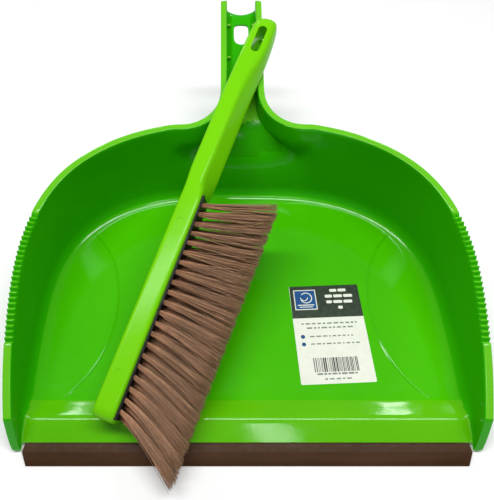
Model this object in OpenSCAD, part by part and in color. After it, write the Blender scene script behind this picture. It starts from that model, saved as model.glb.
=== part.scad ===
// Dust pan and hand brush set.
// The pan lies on its flat underside with its lip towards -Y and its handle towards +Y.
// The brush lies on its side across the pan, with its bristles towards +X.
// Origin: the middle of the tray's underside, on the surface the pan stands on. Millimetres, +Z up.

/* [Pan tray] */
// Width across the outside of the rim
pan_w = 400; // [380:5:420]
// Distance from the origin forward to the edge of the rubber lip
lip_reach = 150; // [145:1:155]
// Distance from the origin back to the outside of the rim
back_reach = 156; // [150:1:160]
// Height of the rim along the back
rim_h = 90; // [84:1:96]
// Height of the side walls at the front corners
corner_h = 35; // [32:1:40]
// Width of the rim, measured from the inside of the wall
rim_w = 6.8; // [6:0.2:8]
// Thickness of the moulded walls
wall_t = 2.4; // [2:0.1:3]
// Lean of the back wall, from the floor to the rim
back_lean = 14; // [10:1:18]
// Roundness of the rim's outline, as a superellipse exponent
rim_round = 2.5; // [2.3:0.1:2.7]
// Roundness of the floor's outline, as a superellipse exponent
floor_round = 2.8; // [2.6:0.1:3]

/* [Grip teeth] */
// Number of teeth on each side of the rim
tooth_count = 25; // [20:1:28]
// Spacing of the teeth along the rim
tooth_pitch = 4.5; // [4:0.1:4.8]
// Depth of the gaps between the teeth
tooth_depth = 1.2; // [0.8:0.1:1.6]

/* [Front ramp and lip] */
// Height of the crest that keeps the dust in
crest_h = 10; // [8:0.5:12]
// Distance from the lip's edge back to the crest
crest_back = 36; // [34:1:40]
// Distance from the lip's edge back to the start of the floor
ramp_back = 55; // [52:1:60]
// Length of the rubber lip
lip_l = 371; // [365:1:372]
// Depth of the rubber lip that shows, front to back
lip_d = 17.2; // [16:0.2:18]
// Height of the rubber lip along its back edge
lip_h = 4.6; // [4.4:0.1:5]

/* [Pan handle] */
// Slope of the handle above the horizontal, in degrees
handle_tilt = 13.4; // [12:0.2:15]
// Length of the handle beyond the rim
handle_l = 155; // [140:1:165]
// Width across the handle's two rails
handle_w = 44; // [42:1:48]
// Depth of the trough between the rails, next to the tray
trough_d = 21; // [18:1:23]
// Depth of the trough at the handle's tip
trough_tip_d = 11; // [9:1:14]
// Radius of the curve where the rim sweeps into a rail
flare_r = 40; // [38:1:44]
// Width of the hanging hole
hole_w = 15.5; // [14:0.5:17]
// Length of the hanging hole
hole_l = 25; // [23:0.5:28]

/* [Brush] */
// Overall length of the brush
brush_l = 420; // [414:1:424]
// Length of the block that carries the tufts
block_l = 216; // [214:1:220]
// Width of the block, across the rows of tufts
block_w = 31; // [30:0.5:32]
// Height of the block, along the tufts
block_h = 20; // [19:0.5:21]
// Width of the handle, along the tufts
grip_w = 27; // [25:0.5:28]
// Thickness of the handle, across the rows of tufts
grip_t = 21; // [20:0.5:22]
// Width of the hanging slot
slot_w = 9; // [8:0.5:10]
// Length of the hanging slot
slot_l = 32; // [28:1:34]

/* [Tufts] */
// Number of tufts in one row
tuft_count = 21; // [21:1:21]
// Spacing of the tufts along a row
tuft_pitch = 9.45; // [9.3:0.05:9.45]
// Distance between rows
row_pitch = 9; // [8.6:0.1:9.2]
// Diameter of a tuft where it leaves the block
tuft_d = 4.2; // [3.8:0.1:4.4]
// Diameter of a tuft at its trimmed end
tuft_tip_d = 7.6; // [6:0.2:8]
// Length of the bristles next to the handle, square to the block
trim_l = 66; // [62:1:68]
// Length of the bristles at the free end, square to the block
trim_front = 58.5; // [56:0.5:62]
// Lean of the tuft nearest the handle, towards the handle, in degrees
lean_back = 14; // [10:1:18]
// Lean of the tuft nearest the free end, towards the free end, in degrees
lean_front = 30; // [26:1:31]

/* [Label] */
// Width of the paper label
label_w = 67.7; // [60:0.1:70]
// Length of the paper label
label_l = 99.1; // [90:0.1:100]
// Turn of the label on the tray floor, in degrees
label_turn = 2.5; // [0:0.5:4]

/* [Hidden] */
$fn = 64;

lime = [0.42, 0.80, 0.10];
lip_brown = [0.25, 0.16, 0.10];
bristle_brown = [0.52, 0.40, 0.30];

// Tray outline. Side stations run along Y, and the back is a half superellipse behind mid_y.
mid_y = -35;
half_w = pan_w / 2;
back_b = back_reach - mid_y;
floor_half = half_w - 8;
floor_b = back_b - rim_w - back_lean;
front_y = 27.5 - lip_reach;
front_narrow = 0.00073;
floor_narrow = 0.00054;
teeth_y0 = -67;
teeth_y1 = teeth_y0 + tooth_count * tooth_pitch;
back_turn0 = asin(pow((teeth_y1 - mid_y) / back_b, rim_round / 2));
side_squeeze = floor_b * pow(sin(back_turn0), 2 / floor_round)
    / (back_b * pow(sin(back_turn0), 2 / rim_round));
front_shear = 0.5;
rim_t = 2.6;
corner_post = 3;

// Height of the rim at the distance y along the tray
slope_run = 222.5;
function rim_z(y) = let (t = (front_y + slope_run - y) / slope_run)
    t <= 0 ? rim_h : rim_h - (rim_h - corner_h) * pow(min(t, 1), 1.6);

// Half width of an outline ahead of mid_y, where it narrows towards the lip
function narrowing(half, k, y) = half - k * pow(max(mid_y - y, 0), 2);

// One station of the wall: [rim point, floor point, unit normal, rim height, tooth gap, front factor]
function side_x(half, b, n, k, y) = y <= mid_y
    ? narrowing(half, k, y)
    : half * pow(1 - pow((y - mid_y) / b, n), 1 / n);
function side_floor_y(y) = y <= mid_y ? y : mid_y + (y - mid_y) * side_squeeze;
function unit(v) = v / norm(v);
function side_normal(y) = y <= mid_y
    ? unit([1, -2 * floor_narrow * (mid_y - y)])
    : let (x = side_x(half_w, back_b, rim_round, 0, y))
        unit([pow(x / half_w, rim_round - 1) / half_w, pow((y - mid_y) / back_b, rim_round - 1) / back_b]);
function front_factor(y) = pow(max(-60 - y, 0) / (-60 - front_y), 2);
function side_station(y, gap) = let (fy = side_floor_y(y)) [
    [side_x(half_w, back_b, rim_round, front_narrow, y), y],
    [side_x(floor_half, floor_b, floor_round, floor_narrow, fy), fy],
    side_normal(y), rim_z(y), gap, front_factor(y)
];
function back_station(a) = let (
    rx = half_w * pow(cos(a), 2 / rim_round), ry = back_b * pow(sin(a), 2 / rim_round),
    fx = floor_half * pow(cos(a), 2 / floor_round), fy = floor_b * pow(sin(a), 2 / floor_round)
) [
    [rx, mid_y + ry], [fx, mid_y + fy],
    unit([pow(rx / half_w, rim_round - 1) / half_w, pow(ry / back_b, rim_round - 1) / back_b]),
    rim_z(mid_y + ry), 0, 0
];

// Stations from the right front corner round to the middle of the back
front_steps = 9;
back_steps = 22;
right_stations = concat(
    [side_station(front_y, 0), side_station(front_y + corner_post, 0)],
    [for (i = [1 : front_steps - 1])
        side_station(front_y + corner_post + 0.6
            + (teeth_y0 - front_y - corner_post - 0.6) * (i - 1) / front_steps, 0)],
    [for (i = [0 : tooth_count - 1], s = [0, 1]) side_station(teeth_y0 + (i + s / 2) * tooth_pitch, s)],
    [for (i = [0 : back_steps - 1]) back_station(back_turn0 + (90 - back_turn0) * i / back_steps)]
);
middle_station = [[0, mid_y + back_b], [0, mid_y + floor_b], [0, 1], rim_h, 0, 0];
function flip_x(v) = [-v[0], v[1]];
function flip_station(s) = [flip_x(s[0]), flip_x(s[1]), flip_x(s[2]), s[3], s[4], s[5]];
wall_stations = concat(
    right_stations, [middle_station],
    [for (i = [len(right_stations) - 1 : -1 : 0]) flip_station(right_stations[i])]
);

// Section of the wall at a station, as [offset outwards, height, share of the lean] triples.
// The inner fillet fades out towards the lip, and the front corner is thickened to the rim's width.
fillet_fade_y0 = -112;
fillet_fade_y1 = -90;
function fade(y) = 0.1 + 0.9 * min(max((y - fillet_fade_y0) / (fillet_fade_y1 - fillet_fade_y0), 0), 1);
function wall_section(h, gap, f, post) = let (
    out = post ? rim_w : wall_t, drop = gap * tooth_depth
) [
    [-12 * f, 1.9, 0], [-7 * f, 3.3, 0], [-3 * f, 7, 0], [-0.8 * f, 12, 0.05], [0, 18, 0.15],
    [0, h - 0.8, 1], [0.6, h - 0.1, 1], [1.8, h - drop / 4, 1],
    [rim_w - drop, h - 0.1 - drop, 1], [rim_w - drop, h - rim_t, 1],
    [max(out, wall_t), h - rim_t - 0.2, 1], [out, 18, 0.15],
    [post ? out : wall_t - 1 * f, 10, 0.05], [post ? out : wall_t - 4 * f, 4, 0],
    [(wall_t - 0.6) * (1 - f) - 6 * f, 0.9, 0], [-12 * f, 0.9, 0]
];
function ring_point(s, q, h, f) = let (
    rim_in = s[0] - s[2] * rim_w,
    base = s[1] + (rim_in - s[1]) * q[2] * min(max(q[1] / h, 0), 1) + s[2] * q[0]
) [base[0], base[1] - s[5] * (h - q[1]) * front_shear, q[1]];
function wall_ring(i) = let (
    s = wall_stations[i], f = fade(s[1][1]),
    post = i <= 1 || i >= len(wall_stations) - 2
) [for (q = wall_section(s[3], s[4], f, post)) ring_point(s, q, s[3], f)];

// A closed skin over rings of an even number of points. Each end is closed by a ladder of quads
// between the inner half of the ring and the outer half.
module sweep(rings) {
    n = len(rings[0]);
    m = len(rings);
    last = (m - 1) * n;
    polyhedron(
        points = [for (r = rings, p = r) p],
        faces = concat(
            [for (j = [0 : n / 2 - 2]) [j, j + 1, n - 2 - j, n - 1 - j]],
            [for (j = [0 : n / 2 - 2]) [last + n - 1 - j, last + n - 2 - j, last + j + 1, last + j]],
            [for (i = [0 : m - 2], j = [0 : n - 1])
                [i * n + j, (i + 1) * n + j, (i + 1) * n + (j + 1) % n]],
            [for (i = [0 : m - 2], j = [0 : n - 1])
                [i * n + j, (i + 1) * n + (j + 1) % n, i * n + (j + 1) % n]]
        )
    );
}

// The tray floor, a flat plate inside the foot of the wall
floor_t = wall_t;
floor_inset = 5;
module tray_floor() {
    y0 = ramp_back - lip_reach - 1;
    right = concat(
        [for (i = [0 : 12])
            let (y = y0 + (teeth_y1 - y0) * i / 12, fy = side_floor_y(y))
            [side_x(floor_half, floor_b, floor_round, floor_narrow, fy), fy]
                - side_normal(y) * floor_inset],
        [for (i = [1 : 14])
            let (s = back_station(back_turn0 + (90 - back_turn0) * i / 15)) s[1] - s[2] * floor_inset]
    );
    outline = concat(
        right, [[0, mid_y + floor_b - floor_inset]],
        [for (i = [len(right) - 1 : -1 : 0]) flip_x(right[i])]
    );
    linear_extrude(floor_t) polygon(outline);
}

// A shallow sunk panel on each side of the floor, bounded by a step that curves in from the wall
panel_y = -5;
panel_a = 70;
panel_b = 100;
panel_sink = 0.5;
panel_x = half_w - 7;
module side_panel() {
    outline = [for (a = [95 : 10 : 265])
        [panel_x + panel_a * cos(a), panel_y + min(max(panel_b * sin(a), -85), 88)]];
    translate([0, 0, floor_t - panel_sink])
        linear_extrude(panel_sink * 2) polygon(concat(outline, [[176, panel_y - 80], [176, panel_y + 60]]));
}

// Front ramp: up from the floor to the crest, then down to a tongue inside the rubber lip
tongue_back = 8;
tongue_z0 = 1.6;
tongue_z1 = 3.2;
lip_y = -lip_reach;
ramp_half = half_w - 9;
module front_ramp() {
    profile = [
        [lip_y + ramp_back + 2, 0], [lip_y + ramp_back + 2, floor_t],
        [lip_y + ramp_back, floor_t], [lip_y + crest_back + 1.5, crest_h - 0.3],
        [lip_y + crest_back, crest_h], [lip_y + crest_back - 1.5, crest_h - 0.3],
        [lip_y + lip_d, lip_h], [lip_y + lip_d, tongue_z1],
        [lip_y + tongue_back, tongue_z1], [lip_y + tongue_back, tongue_z0],
        [lip_y + lip_d + 1, tongue_z0], [lip_y + crest_back, crest_h - 3],
        [lip_y + ramp_back - 4, 0]
    ];
    intersection() {
        rotate([90, 0, 90]) translate([0, 0, -ramp_half]) linear_extrude(2 * ramp_half) polygon(profile);
        linear_extrude(30) polygon([
            [-ramp_half, lip_y + ramp_back + 4], [-ramp_half + 2.5, lip_y + crest_back],
            [-lip_l / 2 - 0.4, lip_y + lip_d + 4], [-lip_l / 2 + 4, lip_y],
            [lip_l / 2 - 4, lip_y], [lip_l / 2 + 0.4, lip_y + lip_d + 4],
            [ramp_half - 2.5, lip_y + crest_back], [ramp_half, lip_y + ramp_back + 4]
        ]);
    }
}

// Handle frame: origin at the back of the rim, +Y along the handle, +Z square to its top
handle_y0 = back_reach - 4;
module in_handle_frame() {
    translate([0, handle_y0, rim_h]) rotate([handle_tilt, 0, 0]) children();
}
flare_turn = 17;
flare_x = handle_w / 2 + flare_r;
flare_y = flare_r - 2.5;
trough_z = -trough_d;
// The curved walls stand just below the throat's plate
flare_foot_z = trough_z - wall_t - 0.2;
function flare_arc(r, a0, a1, n) = [for (i = [0 : n])
    let (a = a0 + (a1 - a0) * i / n) [-flare_x + r * cos(a), flare_y + r * sin(a)]];

// The inside of the throat, between the two curved walls
module throat_plan(r) {
    left = flare_arc(r, 270, 359, 12);
    polygon(concat(
        [[-flare_x, -14]], left, [[-flare_x + r, flare_y + 2], [flare_x - r, flare_y + 2]],
        [for (i = [len(left) - 1 : -1 : 0]) flip_x(left[i])], [[flare_x, -14]]
    ));
}
module flare_wall() {
    translate([-flare_x, flare_y, 0])
        rotate([0, 0, 270 - flare_turn])
            rotate_extrude(angle = 90 + flare_turn, $fn = 128)
                polygon([
                    [flare_r, 0], [flare_r, -rim_t], [flare_r + rim_w - wall_t, -rim_t],
                    [flare_r + rim_w - wall_t, flare_foot_z], [flare_r + rim_w, flare_foot_z],
                    [flare_r + rim_w, 0]
                ]);
}
rail_in = handle_w / 2 - rim_w;
trough_y0 = flare_y - 0.5;
function trough_floor(y) = -trough_d + (trough_d - trough_tip_d) * (y - trough_y0) / (handle_l - trough_y0);
module along_x(half) {
    rotate([90, 0, 90]) translate([0, 0, -half]) linear_extrude(2 * half) children();
}
rib_w = 3.5;
rib_t = 3.2;
rib_top = -7;
rib_count = 3;
rib_gap = 40;
module trough_rib(y) {
    for (x = [rail_in - rib_w, -rail_in - 1])
        translate([x, y - rib_t / 2, trough_floor(y) - 1]) cube([rib_w + 1, rib_t, rib_top - trough_floor(y) + 1]);
}
hole_y = handle_l - 41;
hole_corner = 3.5;
module hang_hole() {
    r = hole_w / 2;
    translate([0, hole_y, trough_z - wall_t])
        linear_extrude(trough_d + wall_t) hull() {
            circle(r = r);
            for (x = [-1, 1]) translate([x * (r - hole_corner), hole_l - r - hole_corner]) circle(r = hole_corner);
        }
}
notch_r = 20;
notch_d = 7;
module pan_handle() {
    difference() {
        union() {
            along_x(handle_w / 2)
                polygon([
                    [trough_y0, trough_z - wall_t], [handle_l - 1, -trough_tip_d - wall_t],
                    [handle_l, -3], [handle_l - 0.5, 0], [trough_y0, 0]
                ]);
            translate([0, 0, trough_z - wall_t]) linear_extrude(wall_t) throat_plan(flare_r + rim_w - 1);
            flare_wall();
            mirror([1, 0, 0]) flare_wall();
        }
        // the trough itself
        along_x(rail_in)
            polygon([
                [trough_y0 - 3, trough_z], [trough_y0, trough_z], [handle_l + 2, trough_floor(handle_l + 2)],
                [handle_l + 2, 2], [trough_y0 - 3, 2]
            ]);
        // open sides under the rails
        for (x = [rail_in + wall_t, -rail_in - wall_t - rim_w])
            translate([x, flare_y + 3, trough_z - wall_t - 1])
                cube([rim_w, handle_l, trough_d + wall_t + 1 - rim_t]);
        hang_hole();
        // concave end of the trough floor
        translate([0, handle_l + notch_r - notch_d, trough_z]) cylinder(r = notch_r, h = trough_d - 5);
    }
    for (k = [0 : rib_count - 1]) trough_rib(handle_l - 25 - k * rib_gap);
}

module dustpan_body() {
    color(lime) {
        difference() {
            union() {
                sweep([for (i = [0 : len(wall_stations) - 1]) wall_ring(i)]);
                difference() {
                    tray_floor();
                    side_panel();
                    mirror([1, 0, 0]) side_panel();
                }
            }
            // mouth of the handle's trough in the back wall
            in_handle_frame() translate([0, 0, trough_z]) linear_extrude(trough_d + 20)
                throat_plan(flare_r + rim_w - 0.5);
        }
        front_ramp();
        in_handle_frame() pan_handle();
    }
}

// Rubber lip: a strip with two sloping facets and a slot that grips the pan's tongue
lip_break = 10;
lip_break_h = 3.9;
lip_edge_h = 1.1;
lip_gap = 0.05;
module rubber_lip() {
    profile = [
        [lip_y, 0], [lip_y, lip_edge_h], [lip_y + lip_break, lip_break_h],
        [lip_y + lip_d - lip_gap, lip_h], [lip_y + lip_d - lip_gap, tongue_z1 + lip_gap],
        [lip_y + tongue_back - lip_gap, tongue_z1 + lip_gap],
        [lip_y + tongue_back - lip_gap, tongue_z0 - lip_gap],
        [lip_y + lip_d - lip_gap, tongue_z0 - lip_gap], [lip_y + lip_d - lip_gap, 0]
    ];
    color(lip_brown)
        intersection() {
            rotate([90, 0, 90]) translate([0, 0, -lip_l / 2]) linear_extrude(lip_l) polygon(profile);
            linear_extrude(20) polygon([
                [-lip_l / 2 + 4, lip_y], [lip_l / 2 - 4, lip_y], [lip_l / 2, lip_y + lip_break],
                [lip_l / 2 - 1.5, lip_y + lip_d], [-lip_l / 2 + 1.5, lip_y + lip_d],
                [-lip_l / 2, lip_y + lip_break]
            ]);
        }
}

label_x = 81;
label_y = -32;
label_t = 0.15;
label_corner = 1.5;
module product_label() {
    color("white")
        translate([label_x, label_y, floor_t + 0.02]) rotate([0, 0, label_turn])
            linear_extrude(label_t) hull()
                for (x = [-1, 1], y = [-1, 1])
                    translate([x * (label_w / 2 - label_corner), y * (label_l / 2 - label_corner)])
                        circle(r = label_corner);
}

// Brush frame: +X from the block's free end to the handle's tip, -Y along the tufts,
// +Z out of the side that faces up. Its origin is in the middle of the free end's upper edge.
brush_yaw = 70;
brush_pitch = 13.8;
brush_x = -115.1;
brush_y = -123.9;
brush_z = 38.6;
module in_brush_frame() {
    translate([brush_x, brush_y, brush_z]) rotate([0, -brush_pitch, brush_yaw]) children();
}
block_top = 12;
block_edge = 2.5;
block_mid_z = -block_w / 2;
grip_y0 = -0.4;
grip_y1 = -2.5;
slot_end = 16;
grip_mid_z = block_mid_z + 4.5;
plate_l = 205;
plate_h = 8;
plate_w = 24;
plate_x0 = 4;
plate_y1 = block_top - block_h;
plate_out = 1.6;

module block_shape() {
    hull() {
        for (y = [block_top - block_edge, block_top - block_h + block_edge]) {
            for (z = [-block_edge, -block_w + block_edge])
                translate([12, y, z]) rotate([0, 90, 0]) cylinder(r = block_edge, h = block_l - 12, $fn = 24);
            for (z = [-10, -block_w + 10])
                translate([10, y, z]) rotate([90, 0, 0]) cylinder(r = 10, h = 5, center = true, $fn = 32);
        }
    }
}
module grip_end(x, y, r) {
    for (s = [-1, 1])
        translate([x, y + s * (grip_w / 2 - r), grip_mid_z]) sphere(r = r, $fn = 32);
}
module brush_shape() {
    block_shape();
    // neck between the block and the handle
    hull() {
        translate([block_l - 12, block_top - block_h / 2, block_mid_z])
            cube([12, block_h - 3, block_w - 4], center = true);
        grip_end(block_l + 16, grip_y0, grip_t / 2);
    }
    hull() {
        grip_end(block_l + 14, grip_y0, grip_t / 2);
        grip_end(brush_l - grip_w / 2 - 2, grip_y1, grip_t / 2);
    }
}
module hang_slot() {
    x1 = brush_l - slot_end - slot_w / 2;
    x0 = brush_l - slot_end - slot_l + slot_w / 2;
    for (x = [x0, x1])
        translate([x, grip_y1, grip_mid_z]) cylinder(r = slot_w / 2, h = grip_t + 4, center = true);
    translate([(x0 + x1) / 2, grip_y1, grip_mid_z]) cube([x1 - x0, slot_w, grip_t + 4], center = true);
}
mark_r = 3.5;
mark_x = [38, 178];
module brush_handle() {
    color(lime)
        in_brush_frame() difference() {
            brush_shape();
            hang_slot();
            // shallow round ejector marks on the side that faces up
            for (x = mark_x) translate([x, 2, -0.3]) cylinder(r = mark_r, h = 5);
            // pocket for the tuft plate
            translate([plate_x0 - 0.05, plate_y1 - 1, block_mid_z - plate_w / 2 - 0.05])
                cube([plate_l + 0.1, plate_h + 1.05, plate_w + 0.1]);
        }
}

// Tuft positions: the middle row sits half a pitch nearer the free end than the outer rows
tuft_x0 = 11.5;
hole_depth = 7;
anchor_h = 1.6;
rows = [-1, 0, 1];
function tuft_x(i, row) = tuft_x0 + (i - 1) * tuft_pitch - (row == 0 ? tuft_pitch / 2 : 0);
function tuft_lean(i) = -lean_front + (lean_front + lean_back) * (i - 1) / (tuft_count - 1);
function tuft_name(i) = str("tufts_", i < 10 ? "0" : "", i);
plate_face_y = plate_y1 - plate_out;
hole_foot_y = plate_face_y + hole_depth;

module tuft_plate() {
    color([0.04, 0.04, 0.04])
        in_brush_frame() difference() {
            translate([plate_x0, plate_face_y, block_mid_z - plate_w / 2])
                cube([plate_l, plate_h + plate_out, plate_w]);
            for (i = [1 : tuft_count], row = rows)
                translate([tuft_x(i, row), hole_foot_y, block_mid_z + row * row_pitch])
                    rotate([90, 0, 0]) cylinder(r = tuft_d / 2, h = hole_depth + 1, $fn = 24);
        }
}
// The flat wire pressed in at the foot of each hole, which holds the folded filaments
module tuft_anchors() {
    color("silver")
        in_brush_frame()
            for (i = [1 : tuft_count], row = rows)
                translate([tuft_x(i, row) - 1.9, hole_foot_y - anchor_h, block_mid_z + row * row_pitch - 0.2])
                    cube([3.8, anchor_h - 0.02, 0.4]);
}
// One cross set of tufts: a straight root in the hole, then a cone that leans and is trimmed square
root_gap = 0.05;
module tuft(i, row) {
    root_h = hole_depth - anchor_h - 0.05;
    lean = tuft_lean(i);
    trim = trim_front + (trim_l - trim_front) * (i - 1) / (tuft_count - 1);
    reach = trim / cos(lean);
    translate([tuft_x(i, row), plate_face_y, block_mid_z + row * row_pitch]) {
        translate([0, root_h, 0]) rotate([90, 0, 0])
            cylinder(r = tuft_d / 2 - root_gap, h = root_h + 0.2, $fn = 24);
        intersection() {
            rotate([0, 0, lean]) rotate([90, 0, 0])
                translate([0, 0, -1]) cylinder(r1 = tuft_d / 2 - 0.25, r2 = tuft_tip_d / 2, h = reach + 5, $fn = 24);
            translate([-60, -trim, -10]) cube([120, trim, 20]);
        }
    }
}
module tuft_set(i) {
    color(bristle_brown) in_brush_frame() for (row = rows) tuft(i, row);
}

dustpan_body();
rubber_lip();
product_label();
brush_handle();
tuft_plate();
tuft_anchors();
for (i = [1 : tuft_count])
    tuft_set(i);
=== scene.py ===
"""Dust pan and brush set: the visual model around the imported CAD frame. The pieces are drawn in
millimetres until put() turns them into metres. The camera, the lights and the studio floor are in metres."""

import math
import random

import bmesh
import bpy
from mathutils import Matrix, Vector


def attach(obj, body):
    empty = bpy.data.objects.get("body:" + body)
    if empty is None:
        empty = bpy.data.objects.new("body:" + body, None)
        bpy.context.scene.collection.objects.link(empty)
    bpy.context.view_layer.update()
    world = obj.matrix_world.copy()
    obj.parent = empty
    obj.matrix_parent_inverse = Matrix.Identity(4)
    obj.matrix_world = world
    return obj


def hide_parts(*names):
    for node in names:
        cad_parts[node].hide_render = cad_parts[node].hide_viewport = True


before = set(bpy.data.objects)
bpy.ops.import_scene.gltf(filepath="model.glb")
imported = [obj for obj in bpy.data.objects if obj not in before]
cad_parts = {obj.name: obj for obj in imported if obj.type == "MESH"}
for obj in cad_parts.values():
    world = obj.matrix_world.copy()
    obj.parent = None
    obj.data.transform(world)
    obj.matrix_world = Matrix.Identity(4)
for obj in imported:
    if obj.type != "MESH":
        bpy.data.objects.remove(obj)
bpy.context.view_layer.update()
MM = 0.001
scene = bpy.context.scene

# ---------------------------------------------------------------- camera, light and floor
ELEVATION = math.radians(57)
cam_data = bpy.data.cameras.new("camera")
cam = bpy.data.objects.new("camera", cam_data)
scene.collection.objects.link(cam)
cam.location = (-0.021, -0.2363, 0.458)
cam.rotation_euler = (math.radians(90) - ELEVATION, 0, 0)
cam_data.sensor_width = 36
cam_data.lens = 37.9
cam_data.shift_x = 0.0505
cam_data.clip_start = 0.01
scene.camera = cam
scene.view_settings.view_transform = "Standard"
scene.view_settings.look = "None"


def area_light(name, place, aim, size, power):
    data = bpy.data.lights.new(name, "AREA")
    data.shape = "RECTANGLE"
    data.size, data.size_y = size
    data.energy = power
    obj = bpy.data.objects.new(name, data)
    obj.location = place
    obj.rotation_euler = (Vector(aim) - Vector(place)).to_track_quat("-Z", "Y").to_euler()
    scene.collection.objects.link(obj)


area_light("key", (0.0, 0.10, 1.5), (0, 0.10, 0), (1.8, 0.22), 24)
area_light("lamp_back_left", (-0.61, 1.22, 0.79), (-0.16, -0.10, 0), (0.16, 0.12), 1.3)
area_light("lamp_back_middle", (-0.25, 1.30, 0.80), (-0.07, -0.10, 0), (0.12, 0.12), 0.9)
area_light("lamp_back_right", (0.62, 1.24, 0.80), (0.14, -0.10, 0), (0.10, 0.12), 0.9)
area_light("lamp_front", (0.16, -0.61, 1.5), (0, -0.12, 0), (0.14, 0.24), 1.1)

world = bpy.data.worlds.new("studio")
world.use_nodes = True
world.node_tree.nodes["Background"].inputs["Color"].default_value = (1, 1, 1, 1)
world.node_tree.nodes["Background"].inputs["Strength"].default_value = 0.22
scene.world = world


# ---------------------------------------------------------------- materials
class Nodes:
    """A short way to write a node material around one Principled shader."""

    def __init__(self, name):
        self.mat = bpy.data.materials.new(name)
        self.mat.use_nodes = True
        self.tree = self.mat.node_tree
        self.shader = self.tree.nodes["Principled BSDF"]

    def add(self, kind, **settings):
        node = self.tree.nodes.new(kind)
        for key, value in settings.items():
            if hasattr(node, key):
                setattr(node, key, value)
            else:
                node.inputs[key.replace("_", " ")].default_value = value
        return node

    def link(self, out, into):
        self.tree.links.new(out, into)

    def set(self, **values):
        for key, value in values.items():
            self.shader.inputs[key.replace("_", " ")].default_value = value

    def noise(self, scale, detail=3.0, stretch=(1, 1, 1), rough=0.5):
        coords = self.add("ShaderNodeTexCoord")
        mapping = self.add("ShaderNodeMapping")
        mapping.inputs["Scale"].default_value = stretch
        tex = self.add("ShaderNodeTexNoise", Scale=scale, Detail=detail, Roughness=rough)
        self.link(coords.outputs["Object"], mapping.inputs["Vector"])
        self.link(mapping.outputs["Vector"], tex.inputs["Vector"])
        return tex.outputs["Fac"]

    def ramp(self, fac, stops):
        node = self.add("ShaderNodeValToRGB")
        while len(node.color_ramp.elements) < len(stops):
            node.color_ramp.elements.new(0.5)
        for element, (place, colour) in zip(node.color_ramp.elements, stops):
            element.position = place
            element.color = (*colour, 1)
        self.link(fac, node.inputs["Fac"])
        return node.outputs["Color"]

    def span(self, fac, low, high, from_low=0.3, from_high=0.7):
        node = self.add("ShaderNodeMapRange", From_Min=from_low, From_Max=from_high, To_Min=low, To_Max=high)
        self.link(fac, node.inputs["Value"])
        return node.outputs["Result"]

    def bump(self, height, strength, distance):
        node = self.add("ShaderNodeBump", Strength=strength, Distance=distance)
        self.link(height, node.inputs["Height"])
        self.link(node.outputs["Normal"], self.shader.inputs["Normal"])


def lime_plastic(name, deep, pale, rough=0.3, gloss=0.3):
    """Glossy moulded plastic: faint flow marks, fine scuffs in the gloss, a slight orange peel."""
    m = Nodes(name)
    m.set(IOR=1.47, Specular_IOR_Level=gloss, Subsurface_Weight=0.06, Subsurface_Scale=0.004)
    m.shader.inputs["Subsurface Radius"].default_value = (0.4, 1.0, 0.1)
    flow = m.noise(9, 4, (1, 0.35, 1))
    m.link(m.ramp(flow, [(0.3, deep), (0.72, pale)]), m.shader.inputs["Base Color"])
    scuff = m.noise(70, 5, (1, 3, 1), 0.65)
    m.link(m.span(scuff, rough - 0.04, rough + 0.06), m.shader.inputs["Roughness"])
    m.bump(m.noise(420, 2), 0.05, 0.0004)
    return m.mat


LIME_DEEP = (0.046, 0.420, 0.0)
LIME_PALE = (0.064, 0.500, 0.0)
pan_plastic = lime_plastic("pan_plastic", LIME_DEEP, LIME_PALE, 0.1)
# The rim's green is lighter and yellower than the pan's: painted light on the one plastic.
rim_painted_light = lime_plastic("pan_rim_painted_light", (0.115, 0.49, 0.010), (0.14, 0.55, 0.018), 0.12)
# The wall's green is darker than the pan's: painted shade on the upright walls.
wall_painted_shade = lime_plastic("pan_wall_painted_shade", (0.020, 0.37, 0.0), (0.034, 0.45, 0.0), 0.1, 0.22)
# The throat's green is darker still: painted shade where the trough meets the back wall.
throat_painted_shade = lime_plastic("pan_throat_painted_shade", (0.018, 0.31, 0.0), (0.028, 0.37, 0.0), 0.16, 0.1)
# The ramp's green is lighter and yellower than the pan's: painted light on the front ramp.
ramp_painted_light = lime_plastic("pan_ramp_painted_light", (0.090, 0.44, 0.001), (0.115, 0.50, 0.003), 0.08)
brush_plastic = lime_plastic("brush_plastic", (0.160, 0.58, 0.003), (0.190, 0.64, 0.004), 0.16, 0.12)


def rubber():
    m = Nodes("lip_rubber")
    m.set(IOR=1.5, Specular_IOR_Level=0.15)
    tone = m.noise(60, 4, (0.25, 1, 1))
    brown = m.ramp(tone, [(0.3, (0.042, 0.017, 0.005)), (0.7, (0.064, 0.027, 0.010))])
    m.link(brown, m.shader.inputs["Base Color"])
    m.link(m.span(m.noise(300, 3), 0.42, 0.6), m.shader.inputs["Roughness"])
    m.bump(m.noise(900, 3), 0.18, 0.0003)
    return m.mat


def black_plastic():
    m = Nodes("black_plastic")
    m.set(IOR=1.46, Specular_IOR_Level=0.15)
    m.link(m.ramp(m.noise(50, 3), [(0.3, (0.006, 0.006, 0.006)), (0.7, (0.012, 0.011, 0.011))]),
           m.shader.inputs["Base Color"])
    m.link(m.span(m.noise(220, 3), 0.35, 0.55), m.shader.inputs["Roughness"])
    m.bump(m.noise(700, 2), 0.12, 0.0003)
    return m.mat


def anchor_wire():
    m = Nodes("anchor_wire")
    m.set(Metallic=1.0)
    m.link(m.ramp(m.noise(400, 2, (1, 8, 1)), [(0.3, (0.42, 0.42, 0.43)), (0.7, (0.6, 0.6, 0.6))]),
           m.shader.inputs["Base Color"])
    m.link(m.span(m.noise(900, 2, (1, 10, 1)), 0.25, 0.45), m.shader.inputs["Roughness"])
    return m.mat


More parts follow.
